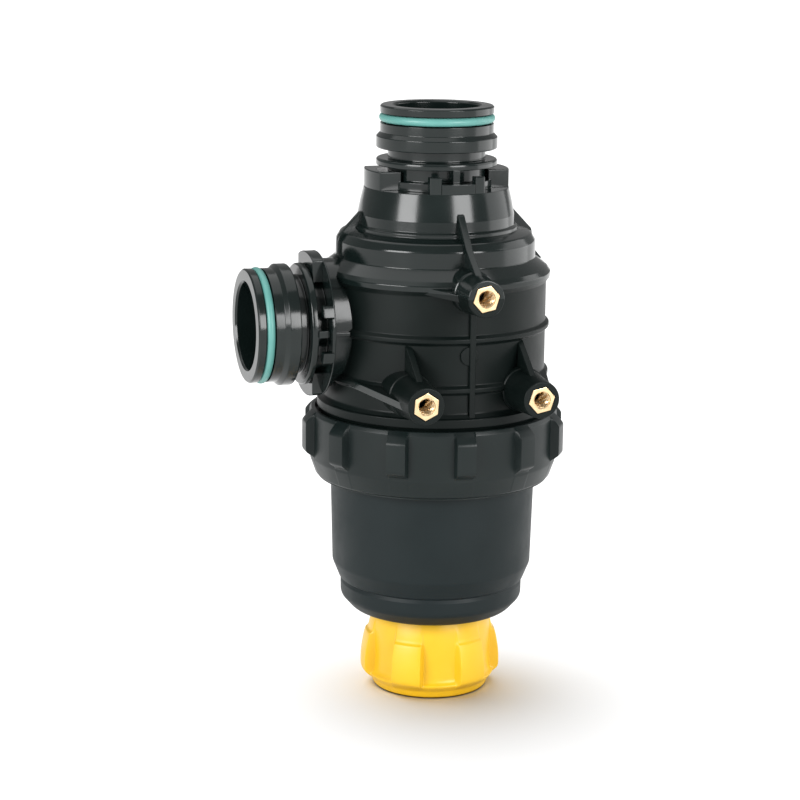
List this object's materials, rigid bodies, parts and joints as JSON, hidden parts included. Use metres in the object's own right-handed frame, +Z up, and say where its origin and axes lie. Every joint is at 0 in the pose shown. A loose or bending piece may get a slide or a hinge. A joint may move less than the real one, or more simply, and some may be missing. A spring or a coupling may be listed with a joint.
{
  "type": "line strainer with removable bowl",
  "caption": "In-line liquid strainer: ribbed head with coaxial top port and side port, screwed-on bowl held by a lobed ring nut, and a yellow drain cap.",
  "frame": {"origin": "centre of the drain cap's flat underside, on the filter axis", "axes": "+Z up along the filter axis towards the top port; the side port points to -X; the mounting bosses face -Y"},
  "size_m": [0.1527, 0.1348, 0.2768],
  "materials": {
    "filter_head": "semi-gloss black glass-filled polypropylene",
    "top_port_o_ring": "satin mint green",
    "side_port_o_ring": "satin mint green",
    "insert_upper": "machined",
    "insert_lower_left": "machined",
    "insert_lower_right": "machined",
    "ring_nut": "satin black",
    "bowl": "fine matte texture",
    "bowl_o_ring": "satin",
    "drain_cap": "satin yellow",
    "drain_cap_gasket": "satin",
    "cartridge_cage": "satin blue",
    "cartridge_screen": "woven wire",
    "cartridge_top_collar": "satin blue",
    "cartridge_bottom_cap": "satin blue",
    "cartridge_top_gasket": "satin"
  },
  "bodies": {
    "head": {"filter_head": "filter_head", "insert_upper": "insert_upper", "insert_lower_left": "insert_lower_left", "insert_lower_right": "insert_lower_right", "top_port_o_ring": "top_port_o_ring", "side_port_o_ring": "side_port_o_ring"},
    "cartridge": {"cartridge_cage": "cartridge_cage", "cartridge_screen": "cartridge_screen", "cartridge_top_collar": "cartridge_top_collar", "cartridge_bottom_cap": "cartridge_bottom_cap", "cartridge_top_gasket": "cartridge_top_gasket"},
    "bowl": {"bowl": "bowl", "bowl_o_ring": "bowl_o_ring"},
    "ring_nut": {"ring_nut": "ring_nut"},
    "drain_gasket": {"drain_cap_gasket": "drain_cap_gasket"},
    "drain_cap": {"drain_cap": "drain_cap"}
  },
  "joints": [
    {"name": "bowl_pull_off", "type": "slide", "parent": "head", "child": "cartridge", "axis": [0, 0, -1], "range_m": [0, 0.15]},
    {"name": "bowl_unscrew_travel", "type": "slide", "parent": "cartridge", "child": "bowl", "axis": [0, 0, -1], "range_m": [0, 0.0201]},
    {"name": "ring_nut_turn", "type": "hinge", "parent": "bowl", "child": "ring_nut", "pos_m": [0, 0, 0.12], "axis": [0, 0, -1], "range_deg": [0, 1440]},
    {"name": "drain_cap_travel", "type": "slide", "parent": "bowl", "child": "drain_gasket", "axis": [0, 0, -1], "range_m": [0, 0.0201]},
    {"name": "drain_cap_turn", "type": "hinge", "parent": "drain_gasket", "child": "drain_cap", "pos_m": [0, 0, 0], "axis": [0, 0, -1], "range_deg": [0, 1800]}
  ],
  "couplings": [
    {"joint": "bowl_unscrew_travel", "follows": "ring_nut_turn", "m_per_rad": 0.00079577},
    {"joint": "drain_cap_travel", "follows": "drain_cap_turn", "m_per_rad": 0.00063662}
  ]
}
